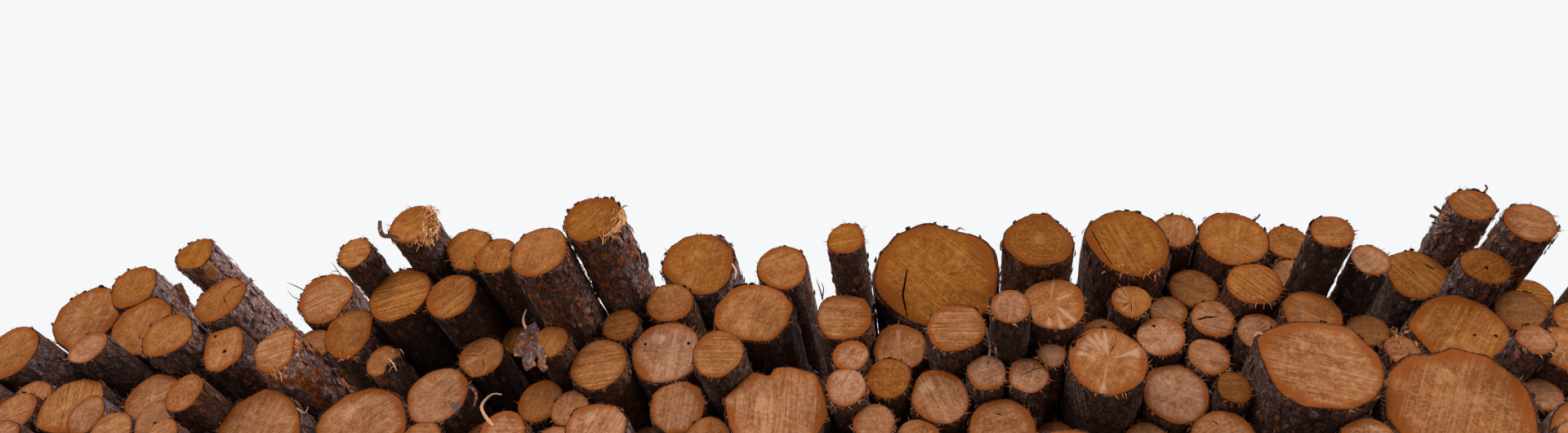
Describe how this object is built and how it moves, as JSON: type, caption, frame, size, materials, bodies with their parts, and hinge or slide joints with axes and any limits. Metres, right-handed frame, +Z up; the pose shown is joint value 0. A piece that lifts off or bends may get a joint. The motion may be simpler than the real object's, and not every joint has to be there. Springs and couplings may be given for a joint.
{
  "type": "stack of logs",
  "caption": "Long loose stack of sawn round logs of many thicknesses, piled with all their cut ends on one side and sloping away at both ends.",
  "frame": {"origin": "on the ground under the middle of the whole stack's box", "axes": "+X along the row of cut ends, +Y along the logs from the seen ends to the far ends, +Z up"},
  "size_m": [9.4794, 3.748, 3.2037],
  "materials": {
    "log_wood": "rough sawn and barked"
  },
  "bodies": {
    "root": {"big_left_log": "log_wood", "big_middle_log": "log_wood", "broad_top_log": "log_wood", "cracked_top_log": "log_wood", "dark_hearted_log": "log_wood", "dome_shaped_log": "log_wood", "filling_logs": "log_wood", "front_row_1": "log_wood", "front_row_2": "log_wood", "front_row_3": "log_wood", "front_row_4": "log_wood", "front_row_5": "log_wood", "front_row_6": "log_wood", "half_hidden_left_log": "log_wood", "heart_shaped_log": "log_wood", "highest_log": "log_wood", "largest_log": "log_wood", "left_end_logs": "log_wood", "lobed_top_log": "log_wood", "lower_course_1": "log_wood", "lower_course_2": "log_wood", "lower_course_3": "log_wood", "lower_course_4": "log_wood", "lower_course_5": "log_wood", "lower_course_6": "log_wood", "lower_course_7": "log_wood", "pear_shaped_log": "log_wood", "right_end_logs": "log_wood", "torn_top_log": "log_wood"}
  },
  "joints": []
}
